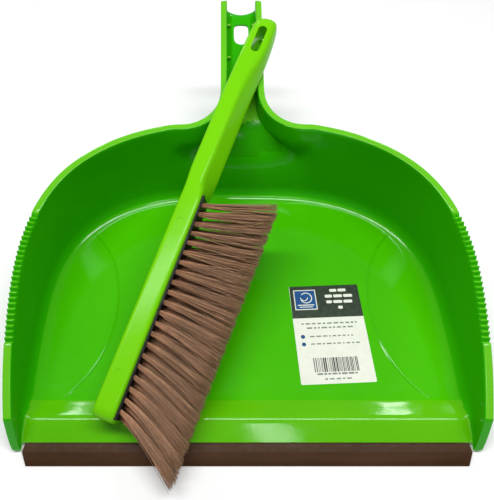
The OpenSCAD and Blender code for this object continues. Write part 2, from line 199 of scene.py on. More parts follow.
def bristle():
    """Plastic filament. The colour attribute tint holds each filament's own shade and its paler root."""
    m = Nodes("bristles")
    m.set(IOR=1.5, Specular_IOR_Level=0.3)
    tint = m.add("ShaderNodeAttribute", attribute_name="tint")
    grain = m.ramp(m.noise(500, 3, (1, 1, 0.2)), [(0.3, (0.82, 0.80, 0.78)), (0.7, (1.0, 1.0, 1.0))])
    mix = m.add("ShaderNodeMix", data_type="RGBA", blend_type="MULTIPLY")
    mix.inputs["Factor"].default_value = 1.0
    m.link(tint.outputs["Color"], mix.inputs["A"])
    m.link(grain, mix.inputs["B"])
    m.link(mix.outputs["Result"], m.shader.inputs["Base Color"])
    m.link(m.span(m.noise(800, 2), 0.38, 0.55), m.shader.inputs["Roughness"])
    return m.mat


def paper(name, low, high, rough=0.5):
    m = Nodes(name)
    m.set(Specular_IOR_Level=0.25)
    m.link(m.ramp(m.noise(180, 4), [(0.3, low), (0.7, high)]), m.shader.inputs["Base Color"])
    m.link(m.span(m.noise(500, 3), rough - 0.06, rough + 0.08), m.shader.inputs["Roughness"])
    m.bump(m.noise(1500, 3), 0.08, 0.0001)
    return m.mat


def leafy_band():
    """The label's dark band: out-of-focus leaves."""
    m = Nodes("label_band")
    coords = m.add("ShaderNodeTexCoord")
    cells = m.add("ShaderNodeTexVoronoi", Scale=230.0, Randomness=1.0)
    m.link(coords.outputs["Object"], cells.inputs["Vector"])
    leaf = m.ramp(cells.outputs["Distance"], [(0.0, (0.016, 0.048, 0.014)), (0.9, (0.004, 0.014, 0.004))])
    m.link(leaf, m.shader.inputs["Base Color"])
    m.link(m.span(m.noise(400, 3), 0.3, 0.42), m.shader.inputs["Roughness"])
    return m.mat


rubber_mat = rubber()
black_mat = black_plastic()
wire_mat = anchor_wire()
bristle_mat = bristle()
label_white = paper("label_white", (0.74, 0.77, 0.66), (0.80, 0.82, 0.72))
label_blue = paper("label_blue", (0.003, 0.060, 0.20), (0.006, 0.085, 0.27), 0.4)
label_grey = paper("label_grey", (0.16, 0.20, 0.16), (0.24, 0.28, 0.24))
label_black = paper("label_black", (0.012, 0.014, 0.012), (0.02, 0.022, 0.02))
label_band = leafy_band()


# ---------------------------------------------------------------- mesh helpers
def put(name, points, faces, mat, smooth=True):
    mesh = bpy.data.meshes.new(name)
    mesh.from_pydata([tuple(c * MM for c in p) for p in points], [], faces)
    mesh.update()
    if smooth:
        mesh.shade_smooth()
    mesh.materials.append(mat)
    obj = bpy.data.objects.new(name, mesh)
    scene.collection.objects.link(obj)
    return obj


def turn_outward(obj):
    """Makes the faces of a closed mesh all look outward."""
    bm = bmesh.new()
    bm.from_mesh(obj.data)
    bmesh.ops.recalc_face_normals(bm, faces=bm.faces)
    bm.to_mesh(obj.data)
    bm.free()


def modify(obj, kind, **settings):
    mod = obj.modifiers.new(kind.lower(), kind)
    for key, value in settings.items():
        setattr(mod, key, value)
    return mod


def bake_modifiers(obj, sharp_angle=None):
    """Replaces the object's mesh by what its modifiers make of it."""
    graph = bpy.context.evaluated_depsgraph_get()
    made = bpy.data.meshes.new_from_object(obj.evaluated_get(graph))
    obj.modifiers.clear()
    old = obj.data
    obj.data = made
    bpy.data.meshes.remove(old)
    made.name = obj.name
    made.shade_smooth()
    if sharp_angle:
        made.set_sharp_from_angle(angle=math.radians(sharp_angle))


def on(obj, body, slot, *nodes):
    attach(obj, body)
    if nodes:
        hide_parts(*nodes)


def smoothstep(t):
    t = min(max(t, 0.0), 1.0)
    return t * t * (3 - 2 * t)


def lerp(a, b, t):
    return a + (b - a) * t


# ---------------------------------------------------------------- pan: outline and section
MID_Y = -35.0
HALF_W, BACK_B, RIM_ROUND = 200.0, 191.0, 2.5
FLOOR_HALF, FLOOR_B, FLOOR_ROUND = 192.0, 170.2, 2.8
RIM_H, CORNER_H, RIM_W, WALL_T = 90.0, 35.0, 6.8, 2.4
FRONT_Y = -122.5
SLOPE_RUN = 222.5
TEETH_Y0, TOOTH_PITCH, TEETH = -67.0, 4.5, 25
TEETH_Y1 = TEETH_Y0 + TEETH * TOOTH_PITCH
TOOTH_DROP = 3.0
TURN0 = math.asin(((TEETH_Y1 - MID_Y) / BACK_B) ** (RIM_ROUND / 2))
SQUEEZE = FLOOR_B * math.sin(TURN0) ** (2 / FLOOR_ROUND) / (BACK_B * math.sin(TURN0) ** (2 / RIM_ROUND))
FLOOR_Z = 2.4
RIM_NARROWING, FLOOR_NARROWING = 0.00073, 0.00054  # how the sides draw in towards the front, per mm squared
FOOT_TOP = 18  # height where the wall's rounded foot ends


def rim_z(y):
    t = (FRONT_Y + SLOPE_RUN - y) / SLOPE_RUN
    return RIM_H if t <= 0 else RIM_H - (RIM_H - CORNER_H) * min(t, 1) ** 1.6


def outline_x(half, depth, power, narrowing, y):
    if y <= MID_Y:
        return half - narrowing * (MID_Y - y) ** 2
    return half * max(1 - ((y - MID_Y) / depth) ** power, 0) ** (1 / power)


def ramp_z(y):
    """Height of the floor and the front ramp along Y."""
    knots = [(-140, 3.1), (-132.8, 4.6), (-115.5, 9.7), (-114, 10), (-112.5, 9.7),
             (-95, FLOOR_Z), (400, FLOOR_Z)]
    for (y0, z0), (y1, z1) in zip(knots, knots[1:]):
        if y <= y1:
            return lerp(z0, z1, (y - y0) / (y1 - y0))
    return FLOOR_Z


def fade(y):
    return 0.1 + 0.9 * min(max((y + 112) / 22, 0), 1)


def unit(x, y):
    size = math.hypot(x, y)
    return x / size, y / size


class Station:
    """One place along the right wall: inner rim point, foot point, outward direction, rim height."""

    def __init__(self, rim, foot, normal, h, shear=0.0, drop=0.0):
        self.inner = (rim[0] - normal[0] * RIM_W, rim[1] - normal[1] * RIM_W)
        self.foot, self.n, self.h, self.shear, self.drop = foot, normal, h, shear, drop
        self.f = fade(foot[1])

    def lean(self, z):
        if z < FOOT_TOP:
            return 0.03 * max(z - 7, 0) / 11
        return max(0.03 + 0.97 * (z - FOOT_TOP) / (self.h - 18.8), 0)

    def point(self, offset, z):
        g = self.lean(z)
        x = lerp(self.foot[0], self.inner[0], g) + self.n[0] * offset
        y = lerp(self.foot[1], self.inner[1], g) + self.n[1] * offset
        return (x, y - self.shear * (self.h - z) * 0.5, z)

    def column(self):
        base = ramp_z(self.foot[1] - self.shear * (self.h - 3) * 0.5)
        low = [(-13, 2.4), (-7, 3.3), (-3, 7.0), (-0.8, 12.0), (0, 18.0)]
        pts = []
        for off, z in low:
            z = base + (z - FLOOR_Z) * (FOOT_TOP - base) / (FOOT_TOP - FLOOR_Z)
            pts.append(self.point(off * self.f, z))
        top = self.h - self.drop
        for share in (0.22, 0.45, 0.68, 0.86):
            pts.append(self.point(0, lerp(FOOT_TOP, self.h - 1.3, share)))
        pts.append(self.point(0, top - 1.3))
        for off, down in ((0.4, 0.3), (1.5, 0), (RIM_W - 1.1, 0), (RIM_W, 0.15)):
            p = self.point(0, self.h)
            pts.append((p[0] + self.n[0] * off, p[1] + self.n[1] * off, top - down))
        return pts


def side_station(y, drop=0.0):
    fy = y if y <= MID_Y else MID_Y + (y - MID_Y) * SQUEEZE
    if y <= MID_Y:
        n = unit(1, -2 * FLOOR_NARROWING * (MID_Y - y))
    else:
        x = outline_x(HALF_W, BACK_B, RIM_ROUND, 0, y)
        n = unit((x / HALF_W) ** (RIM_ROUND - 1) / HALF_W, ((y - MID_Y) / BACK_B) ** (RIM_ROUND - 1) / BACK_B)
    return Station(
        (outline_x(HALF_W, BACK_B, RIM_ROUND, RIM_NARROWING, y), y),
        (outline_x(FLOOR_HALF, FLOOR_B, FLOOR_ROUND, FLOOR_NARROWING, fy), fy),
        n, rim_z(y), (max(-60 - y, 0) / 62.5) ** 2, drop)


def back_station(a):
    c, s = math.cos(a), math.sin(a)
    rx, ry = HALF_W * c ** (2 / RIM_ROUND), BACK_B * s ** (2 / RIM_ROUND)
    n = unit((rx / HALF_W) ** (RIM_ROUND - 1) / HALF_W, (ry / BACK_B) ** (RIM_ROUND - 1) / BACK_B)
    foot = (FLOOR_HALF * c ** (2 / FLOOR_ROUND), MID_Y + FLOOR_B * s ** (2 / FLOOR_ROUND))
    return Station((rx, MID_Y + ry), foot, n, rim_z(MID_Y + ry))


def station_with_foot_at(y):
    """The side station whose foot lies at y once the front's slant is counted."""
    lo, hi = FRONT_Y, -60.0
    for _ in range(40):
        mid = (lo + hi) / 2
        s = side_station(mid)
        if mid - s.shear * (s.h - 3) * 0.5 < y:
            lo = mid
        else:
            hi = mid
    return side_station((lo + hi) / 2)


FRONT_FEET = [-136.6, -133.3, -127, -120.5, -116.4, -114, -111.6, -104, -97, -93.5, -88, -80]
FIRST_RAMP_ROW = 2
stations = [side_station(FRONT_Y)] + [station_with_foot_at(y) for y in FRONT_FEET]
for tooth in range(TEETH):
    for share, drop in ((0.0, 0.0), (0.38, 0.0), (0.54, TOOTH_DROP), (0.84, TOOTH_DROP)):
        stations.append(side_station(TEETH_Y0 + (tooth + share) * TOOTH_PITCH, drop))
stations.append(side_station(TEETH_Y1))
LAST_SIDE = len(stations) - 1
BACK_STEPS = 15
BACK_END = math.radians(72.5)
for i in range(1, BACK_STEPS + 1):
    stations.append(back_station(lerp(TURN0, BACK_END, i / BACK_STEPS)))

# ---------------------------------------------------------------- pan: handle frame
TILT = math.radians(13.4)
HANDLE_Y0 = 152.0
HANDLE_L, HANDLE_W = 155.0, 44.0
TROUGH_D, TROUGH_TIP_D, TROUGH_Y0 = 21.0, 11.0, 37.0
FLARE_R = 40.0
FLARE_X, FLARE_Y = HANDLE_W / 2 + FLARE_R, FLARE_R - 2.5
RAIL_IN = HANDLE_W / 2 - RIM_W
FLARE_IN_R = 46.8  # radius of the rim's inner edge; its outer edge has FLARE_R
TIP_SHIFT = 3.5


def handle_point(x, y, z):
    c, s = math.cos(TILT), math.sin(TILT)
    return (x, HANDLE_Y0 + y * c - z * s, RIM_H + y * s + z * c)


def trough_floor(y):
    return -TROUGH_D + (TROUGH_D - TROUGH_TIP_D) * max(y - TROUGH_Y0, 0) / (HANDLE_L - TROUGH_Y0)


def rim_plane(x, y):
    """A point of the rim's top at (x, y) in the handle frame, eased into the level rim behind the tray."""
    p = handle_point(x, y, 0)
    t = p[1] - HANDLE_Y0
    ease = 10.0
    z = RIM_H + math.tan(TILT) * (t + math.sqrt(t * t + ease * ease)) / 2
    return (p[0], p[1], z)


FLARE_ANGLES = [262, 272, 282, 292, 303, 314, 325, 337, 348.5, 360]
RAIL_YS = [47, 57, 68, 80, 92, 101, 106.25, 110.4, 114.6, 118.75, 122.9, 127.1, 131.25,
           135, 141, 147, 152, 155]
HOLE_ROW0 = len(FLARE_ANGLES) - 1 + RAIL_YS.index(106.25) + 1
HOLE_ROW1 = len(FLARE_ANGLES) - 1 + RAIL_YS.index(131.25) + 1
OFFS = ((0.0, 1.3), (0.4, 0.3), (1.5, 0.0), (RIM_W - 1.1, 0.0), (RIM_W, 0.15))


def flare_column(angle):
    a = math.radians(angle)
    s = smoothstep((angle - FLARE_ANGLES[0]) / (FLARE_ANGLES[-1] - FLARE_ANGLES[0]))
    direction = (math.cos(a), math.sin(a))
    x, y = -FLARE_X + FLARE_IN_R * direction[0], FLARE_Y + FLARE_IN_R * direction[1]
    top = rim_plane(x, y)
    drop = (0, lerp(-4.6, TROUGH_D * math.sin(TILT), s), lerp(-23.0, -TROUGH_D * math.cos(TILT), s))
    pts = []
    for share in (1.0, 0.52):
        pts.append(tuple(top[i] + drop[i] * share for i in range(3)))
    for off, down in OFFS:
        r = FLARE_IN_R - off
        x, y = -FLARE_X + r * direction[0], FLARE_Y + r * direction[1]
        p = rim_plane(x, y)
        pts.append((p[0], p[1], p[2] - down))
    return pts


def tip_share(y):
    """0 along the handle, rising to 1 over its last 8 mm."""
    return smoothstep((y - 147) / 8)


def rail_column(y):
    end = tip_share(y)
    fy = y - TIP_SHIFT * end
    depth = trough_floor(fy)
    pts = [handle_point(-RAIL_IN, fy, depth), handle_point(-RAIL_IN, y - 1.8 * end, depth * 0.5)]
    for off, down in OFFS:
        pts.append(handle_point(-RAIL_IN - off, y - 1.2 * end * (off / RIM_W) ** 2, -down))
    return pts


handle_columns = [flare_column(a) for a in FLARE_ANGLES] + [rail_column(y) for y in RAIL_YS]

# ---------------------------------------------------------------- pan: one sheet
KT = 7  # level of the wall where the trough's floor leaves it
COLS = [0, 0.07, 0.15, 0.25, 0.375, 0.5, 0.625, 0.75, 0.85, 0.93, 1]
verts, quads = [], []


def add(p):
    verts.append(p)
    return len(verts) - 1


def flip(p):
    return (-p[0], p[1], p[2])


def quad(a, b, c, d):
    quads.append((a, b, c, d))


def strip(left, right):
    for i in range(len(left) - 1):
        quad(left[i], right[i], right[i + 1], left[i + 1])


# The join between the tray's wall and the handle: the wall below the trough's floor keeps the
# back wall's foot, and above it follows the first column of the flare
JOIN_X = 71.0
join = back_station(math.acos((JOIN_X / HALF_W) ** (RIM_ROUND / 2)))
join_column = join.column()[:KT] + [flip(p) for p in handle_columns[0]]
columns = [s.column() for s in stations] + [join_column]
walls = {}
for side in (1, -1):
    walls[side] = [[add(p if side > 0 else flip(p)) for p in col] for col in columns]
    for i in range(len(columns) - 1):
        strip(walls[side][i], walls[side][i + 1])

# flange down the front edge of each side wall
for side in (1, -1):
    first = stations[0]
    previous = walls[side][0][: KT + 3]
    for j, (off, _) in enumerate(OFFS[1:], 1):
        row = []
        for k in range(KT + 2):
            p = columns[0][k]
            q = (p[0] + first.n[0] * off, p[1] + first.n[1] * off + (0.3 if off > RIM_W - 0.1 else 0), p[2])
            row.append(add(q if side > 0 else flip(q)))
        row.append(walls[side][0][KT + 2 + j])
        strip(previous, row)
        previous = row

# The wall's long turn into the trough, along the middle: from a point on the wall, past the corner
# the two planes would make, to the trough's floor
TURN_RUN = 45.0
WALL_LEAN, WALL_RISE = 0.19, 0.98  # direction of the back wall
TURN_SHARES = ((KT - 2, 0.17), (KT - 1, 0.33), (KT, 0.5))
middle_column = Station((0, MID_Y + BACK_B), (0, MID_Y + FLOOR_B), (0, 1), RIM_H).column()
corner = middle_column[KT]
exit_point = handle_point(0, FLARE_Y, trough_floor(FLARE_Y))
turn_start = (0, corner[1] - TURN_RUN * WALL_LEAN, corner[2] - TURN_RUN * WALL_RISE)


def turn_point(s):
    return [(1 - s) ** 2 * turn_start[i] + 2 * s * (1 - s) * corner[i] + s * s * exit_point[i]
            for i in range(3)]


def middle_share(t):
    """How far a column takes part in the turn: fully in the middle, not at all at t = -1 and 1."""
    return (1 - t * t) ** 0.75


# back wall between the flares
WALL_TOP_HALF = 68.5
END = len(columns) - 1
foot_half = join.foot[0]
wall_rows = []
for c, share in enumerate(COLS):
    if c in (0, len(COLS) - 1):
        side = -1 if c == 0 else 1
        wall_rows.append(walls[side][END][: KT + 1])
        continue
    t = 2 * share - 1
    fx = foot_half * t
    fy = MID_Y + FLOOR_B * max(1 - (abs(fx) / FLOOR_HALF) ** FLOOR_ROUND, 0) ** (1 / FLOOR_ROUND)
    rx = WALL_TOP_HALF * t
    ry = MID_Y + BACK_B * max(1 - (abs(rx) / HALF_W) ** RIM_ROUND, 0) ** (1 / RIM_ROUND)
    virtual = Station((rx, ry), (fx, fy), (0, 1), RIM_H)
    col = virtual.column()[: KT + 1]
    w = middle_share(t)
    for k, s in TURN_SHARES:
        turned, plain = turn_point(s), middle_column[k]
        x, y, z = col[k]
        col[k] = (x, y + w * (turned[1] - plain[1]), z + w * (turned[2] - plain[2]))
    wall_rows.append([add(p) for p in col])
for c in range(len(COLS) - 1):
    strip(wall_rows[c], wall_rows[c + 1])

# floor and ramp: rows between the two feet, bulging back towards the foot of the back wall
back_foot = (
    [walls[-1][i][0] for i in range(LAST_SIDE, END + 1)]
    + [wall_rows[c][0] for c in range(1, len(COLS) - 1)]
    + [walls[1][i][0] for i in range(END, LAST_SIDE - 1, -1)]
)
foot_x = verts[back_foot[-1]][0]
corner_y = verts[back_foot[0]][1]
BULGE_Y = -93  # the rows are straight from here to the front
floor_rows = {LAST_SIDE: back_foot}
for i in range(FIRST_RAMP_ROW, LAST_SIDE):
    lx, ly, _ = verts[walls[-1][i][0]]
    bulge = smoothstep((ly - BULGE_Y) / (corner_y - BULGE_Y)) ** 0.8 if ly > BULGE_Y else 0
    row = [walls[-1][i][0]]
    for m in back_foot[1:-1]:
        x, y, _ = verts[m]
        row.append(add((x / foot_x * abs(lx), ly + (y - corner_y) * bulge, ramp_z(ly))))
    row.append(walls[1][i][0])
    floor_rows[i] = row
for i in range(FIRST_RAMP_ROW, LAST_SIDE):
    strip(floor_rows[i + 1], floor_rows[i])

# handle: side walls, rails and the trough's floor
rails = {}
for side in (1, -1):
    rails[side] = [walls[side][END][KT:]]
    for col in handle_columns[1:]:
        rails[side].append([add(flip(p) if side > 0 else p) for p in col])
    for j in range(len(rails[side]) - 1):
        strip(rails[side][j], rails[side][j + 1])

CROWN_H = 3.0  # the trough's floor stands this much higher along the middle than beside the rails
HOLE_C0, HOLE_C1 = 3, 7
HOLE_Y, HOLE_R, HOLE_L, HOLE_CORNER = 114.0, 7.75, 25.0, 3.5


def hole_edge(angle):
    """Where a ray from the hole's middle meets its outline: round below, square with round corners above."""
    mid = HOLE_Y + HOLE_L / 2 - HOLE_R
    top = HOLE_Y + HOLE_L - HOLE_R
    lo, hi = 0.0, 30.0
    for _ in range(30):
        r = (lo + hi) / 2
        x, y = abs(r * math.cos(angle)), mid + r * math.sin(angle)
        inside = x < HOLE_R and y < top
        if y < HOLE_Y:
            inside = math.hypot(x, y - HOLE_Y) < HOLE_R
        elif x > HOLE_R - HOLE_CORNER and y > top - HOLE_CORNER:
            inside = math.hypot(x - HOLE_R + HOLE_CORNER, y - top + HOLE_CORNER) < HOLE_CORNER
        if inside:
            lo = r
        else:
            hi = r
    return lo * math.cos(angle), mid + lo * math.sin(angle)


row_ys = [None] * len(FLARE_ANGLES) + RAIL_YS
trough_rows = [[row[KT] for row in wall_rows]]
for j in range(1, len(handle_columns)):
    a = verts[rails[-1][j][0]]
    row = [rails[-1][j][0]]
    for c in range(1, len(COLS) - 1):
        t = 2 * COLS[c] - 1
        x, y, z = -a[0] * t, a[1], a[2]
        if j < len(FLARE_ANGLES) - 1:
            # the middle of the row runs ahead of its ends, out along the trough
            along = j / (len(FLARE_ANGLES) - 1)
            middle = turn_point(0.5 + 0.5 * along ** 0.9)
            w = middle_share(t)
            y, z = lerp(y, middle[1], w), lerp(z, middle[2], w)
        else:
            yp = row_ys[j] if row_ys[j] is not None else FLARE_Y
            near_end = smoothstep((yp - 138) / 17)
            yp = yp - TIP_SHIFT * tip_share(yp) - near_end * 5.5 * (1 - t * t)
            hx = x
            if HOLE_ROW0 <= j <= HOLE_ROW1 and HOLE_C0 <= c <= HOLE_C1 and (
                    j in (HOLE_ROW0, HOLE_ROW1) or c in (HOLE_C0, HOLE_C1)):
                mid = HOLE_Y + HOLE_L / 2 - HOLE_R
                hx, yp = hole_edge(math.atan2(yp - mid, x))
            crown = CROWN_H * smoothstep((yp - 50) / 30) * (1 - near_end) if 2 <= c <= len(COLS) - 3 else 0
            x, y, z = handle_point(hx, yp, trough_floor(yp) + crown)
        row.append(add((x, y, z)))
    row.append(rails[1][j][0])
    trough_rows.append(row)
for j in range(len(trough_rows) - 1):
    for c in range(len(COLS) - 1):
        if HOLE_ROW0 <= j < HOLE_ROW1 and HOLE_C0 <= c < HOLE_C1:
            continue
        quad(trough_rows[j][c], trough_rows[j][c + 1], trough_rows[j + 1][c + 1], trough_rows[j + 1][c])

pan = put("pan_shell", verts, quads, pan_plastic)
bm = bmesh.new()
bm.from_mesh(pan.data)
bmesh.ops.delete(bm, geom=[v for v in bm.verts if not v.link_faces], context="VERTS")
bmesh.ops.recalc_face_normals(bm, faces=bm.faces)
bm.faces.ensure_lookup_table()
middle_face = min(bm.faces, key=lambda f: (f.calc_center_median() - Vector((0, 0, FLOOR_Z * MM))).length)
if middle_face.normal.z < 0:
    bmesh.ops.reverse_faces(bm, faces=bm.faces)
bm.to_mesh(pan.data)
bm.free()
modify(pan, "SOLIDIFY", thickness=WALL_T * MM, offset=-1, use_even_offset=False, use_quality_normals=True,
       edge_crease_inner=0.55, edge_crease_outer=0.55)
modify(pan, "SUBSURF", levels=1, render_levels=1)
bake_modifiers(pan, 50)
# The moulding is one plastic. Its rim, ramp, walls and throat get greens of their own, after the
# way the photo shows them
# The lighter rim and ramp greens are painted light; the darker wall and throat greens are painted shade.
RIM_LIGHT_SLOT, RAMP_LIGHT_SLOT, WALL_SHADE_SLOT, THROAT_SHADE_SLOT = 1, 2, 3, 4
RAMP_FOOT_Y, THROAT_X, THROAT_Y0, THROAT_Y1 = -96.5, 42, 148, 212
for mat in (rim_painted_light, ramp_painted_light, wall_painted_shade, throat_painted_shade):
    pan.data.materials.append(mat)


def light_and_shade_slot(centre, up):
    """Which green a face takes, from its middle and how far it faces up: painted light on the rim and ramp,
    painted shade on the walls and throat.
    """
    x, y, z = abs(centre.x), centre.y, centre.z
    if x < (RAIL_IN + 0.3) * MM and y > THROAT_Y1 * MM:
        return WALL_SHADE_SLOT
    if up > 0.9 and z > 30 * MM and (z > 70 * MM or x > 150 * MM):
        return RIM_LIGHT_SLOT
    if y < RAMP_FOOT_Y * MM and up > 0.8 and z < 12 * MM:
        return RAMP_LIGHT_SLOT
    if x < THROAT_X * MM and THROAT_Y0 * MM < y < THROAT_Y1 * MM and up > 0.1:
        return THROAT_SHADE_SLOT
    if abs(up) < 0.8 and z > 4 * MM:
        return WALL_SHADE_SLOT
    return 0


for face in pan.data.polygons:
    face.material_index = light_and_shade_slot(face.center, face.normal.z)
on(pan, "pan", "lime_plastic", "dustpan_body")


# ---------------------------------------------------------------- pan: small features
def tapered_box(name, corners, mat, bevel=0.5):
    """Eight corners, the lower four first, each four in order."""
    faces = [(0, 3, 2, 1), (4, 5, 6, 7), (0, 1, 5, 4), (1, 2, 6, 5), (2, 3, 7, 6), (3, 0, 4, 7)]
    obj = put(name, corners, faces, mat)
    modify(obj, "BEVEL", width=bevel * MM, segments=3, limit_method="ANGLE")
    bake_modifiers(obj, 40)
    return obj


# The ribs take the rim's lighter green: painted light on their tops.
for n, y in enumerate((130, 90, 50)):
    for side in (1, -1):
        floor = trough_floor(y)
        x0, x1 = side * (RAIL_IN - 4.4), side * (RAIL_IN + 0.6)
        low, top = floor - 0.6, floor + 4.6
        ring = [(x0, y - 1.7), (x1, y - 1.7), (x1, y + 1.7), (x0, y + 1.7)]
        shrink = [(x0 + side * 0.4, y - 1.4), (x1, y - 1.4), (x1, y + 1.4), (x0 + side * 0.4, y + 1.4)]
        corners = [handle_point(x, yy, low) for x, yy in ring]
        corners += [handle_point(x, yy, top) for x, yy in shrink]
        if side < 0:
            corners = corners[3::-1] + corners[7:3:-1]
        rib = tapered_box(f"trough_rib_{n + 1}_{'right' if side > 0 else 'left'}", corners, rim_painted_light, 0.45)
        on(rib, "pan", "lime_plastic")


def swept_faces(count, steps):
    """A closed section of count points, swept over a number of steps, with both ends shut."""
    faces = []
    for i in range(steps):
        for k in range(count):
            a, b = i * count + k, i * count + (k + 1) % count
            faces.append((a, b, b + count, a + count))
    faces.append(tuple(range(count)))
    last = steps * count
    faces.append(tuple(range(last + count - 1, last - 1, -1)))
    return faces


STEP_X, STEP_Y, STEP_A, STEP_B = 193, -5, 71, 100  # the ellipse the step follows: middle and half axes


def floor_step(side):
    """The moulded step that bounds the sunk panel beside the wall."""
    pts = []
    section = [(-2.2, 0.02), (-0.9, 0.6), (-0.4, 0.95), (0.0, 0.90), (0.25, 0.05), (0.4, -0.4), (-2.2, -0.4)]
    steps = 56
    for i in range(steps + 1):
        a = math.radians(lerp(119, 244, i / steps))
        cx, cy = STEP_X + STEP_A * math.cos(a), STEP_Y + STEP_B * math.sin(a)
        nx, ny = unit(math.cos(a) / STEP_A, math.sin(a) / STEP_B)
        end = min(i, steps - i) / 4
        for off, z in section:
            z = z * min(end, 1) if z > 0 else z
            # nx points away from the ellipse's middle, towards the tray's middle
            pts.append((side * (cx - nx * off), cy - ny * off, FLOOR_Z + z))
    faces = swept_faces(len(section), steps)
    obj = put(f"floor_step_{'right' if side > 0 else 'left'}", pts, faces, pan_plastic)
    turn_outward(obj)
    obj.data.set_sharp_from_angle(angle=math.radians(50))
    on(obj, "pan", "lime_plastic")


floor_step(1)
floor_step(-1)


# ---------------------------------------------------------------- rubber lip
LIP_Y, LIP_RUN, LIP_HALF, LIP_STEPS = -150, 17.2, 185.5, 96


def rubber_lip():
    profile = [
        (-150, 0.0), (-150, 0.9), (-149.6, 1.3), (-145, 2.75), (-140.6, 3.75), (-140, 3.95), (-139.4, 4.02),
        (-136, 4.35), (-133.3, 4.62), (-132.8, 4.45), (-132.8, 0.0)
    ]
    half = LIP_HALF
    xs = [-half + half * 2 * i / LIP_STEPS for i in range(LIP_STEPS + 1)]
    pts = []
    for x in xs:
        for y, z in profile:
            t = (y - LIP_Y) / LIP_RUN
            end = half - (4 * (1 - t / 0.58) if t < 0.58 else 1.5 * (t - 0.58) / 0.42)
            pts.append((max(min(x, end), -end) if abs(x) > half - 5 else x, y, z))
    faces = swept_faces(len(profile), LIP_STEPS)
    obj = put("rubber_lip_strip", pts, faces, rubber_mat)
    bm = bmesh.new()
    bm.from_mesh(obj.data)
    bmesh.ops.remove_doubles(bm, verts=bm.verts, dist=1e-6)
    bmesh.ops.recalc_face_normals(bm, faces=bm.faces)
    bm.to_mesh(obj.data)
    bm.free()
    obj.data.set_sharp_from_angle(angle=math.radians(35))
    on(obj, "pan", "lip_rubber", "rubber_lip")


rubber_lip()


# ---------------------------------------------------------------- label
LABEL_X, LABEL_Y, LABEL_W, LABEL_L = 81.0, -32.0, 67.7, 99.1
LABEL_TURN = math.radians(2.5)
LABEL_Z = FLOOR_Z + 0.17


def label_point(u, v, z=0.0):
    """u across and v up the label, in millimetres from its middle."""
    c, s = math.cos(LABEL_TURN), math.sin(LABEL_TURN)
    return (LABEL_X + u * c - v * s, LABEL_Y + u * s + v * c, LABEL_Z + z)


def rounded_outline(u0, v0, u1, v1, r, steps=5):
    pts = []
    corners = ((u1 - r, v0 + r, 270), (u1 - r, v1 - r, 0), (u0 + r, v1 - r, 90), (u0 + r, v0 + r, 180))
    for cu, cv, a0 in corners:
        for i in range(steps + 1):
            a = math.radians(a0 + 90 * i / steps)
            pts.append((cu + r * math.cos(a), cv + r * math.sin(a)))
    return pts


def label_shapes(name, outlines, z, mat, thick=0.012):
    """Flat printed shapes, each a thin prism, joined as one piece."""
    pts, faces = [], []
    for outline in outlines:
        base, n = len(pts), len(outline)
        for dz in (0.0, thick):
            pts += [label_point(u, v, z + dz) for u, v in outline]
        faces.append(tuple(base + n - 1 - i for i in range(n)))
        faces.append(tuple(base + n + i for i in range(n)))
        faces += [(base + i, base + (i + 1) % n, base + n + (i + 1) % n, base + n + i) for i in range(n)]
    obj = put(name, pts, faces, mat, smooth=False)
    on(obj, "pan", "label_paper")
    return obj


def bar(u0, v0, u1, v1, r=None):
    r = min(abs(u1 - u0), abs(v1 - v0)) * 0.3 if r is None else r
    return rounded_outline(u0, v0, u1, v1, r, 2)


def words(seed, u0, u1, v, height, centred=True, gap=1.5):
    """A line of print as bars of uneven length, with no lettering."""
    rng = random.Random(seed)
    lengths = []
    while sum(lengths) + gap * len(lengths) < (u1 - u0) - 4:
        lengths.append(rng.uniform(2.5, 8.0) * height / 2.2)
    total = sum(lengths) + gap * (len(lengths) - 1)
    u = (u0 + u1) / 2 - total / 2 if centred else u0
    out = []
    for length in lengths:
        out.append(bar(u, v - height / 2, min(u + length, u1 + 2), v + height / 2))
        u += length + gap
    return out


hw, hl = LABEL_W / 2, LABEL_L / 2
sheet = label_shapes("label_sheet", [rounded_outline(-hw, -hl, hw, hl, 1.5, 6)], -0.15, label_white, 0.15)
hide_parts("product_label")
BAND_V = hl - 34.5
band_outline = [(-hw, BAND_V), (hw, BAND_V)] + rounded_outline(-hw, BAND_V, hw, hl, 1.5, 6)[6:18]
label_shapes("label_band_print", [band_outline], 0.002, label_band)
icon_u, icon_v = -hw + 14.5, hl - 15
FRAME_HALF, ICON_HALF = 10.8, 9.9
label_shapes("label_icon_frame", [
    bar(icon_u - FRAME_HALF, icon_v - FRAME_HALF, icon_u + FRAME_HALF, icon_v + FRAME_HALF, 0.4)
], 0.016, label_white)
label_shapes("label_icon", [
    bar(icon_u - ICON_HALF, icon_v - ICON_HALF, icon_u + ICON_HALF, icon_v + ICON_HALF, 0.3)
], 0.03, label_blue)


def arc_band(cu, cv, r0, r1, a0, a1, steps=20):
    outer = [(cu + r1 * math.cos(math.radians(lerp(a0, a1, i / steps))),
              cv + r1 * math.sin(math.radians(lerp(a0, a1, i / steps)))) for i in range(steps + 1)]
    inner = [(cu + r0 * math.cos(math.radians(lerp(a0, a1, i / steps))),
              cv + r0 * math.sin(math.radians(lerp(a0, a1, i / steps)))) for i in range(steps, -1, -1)]
    return outer + inner


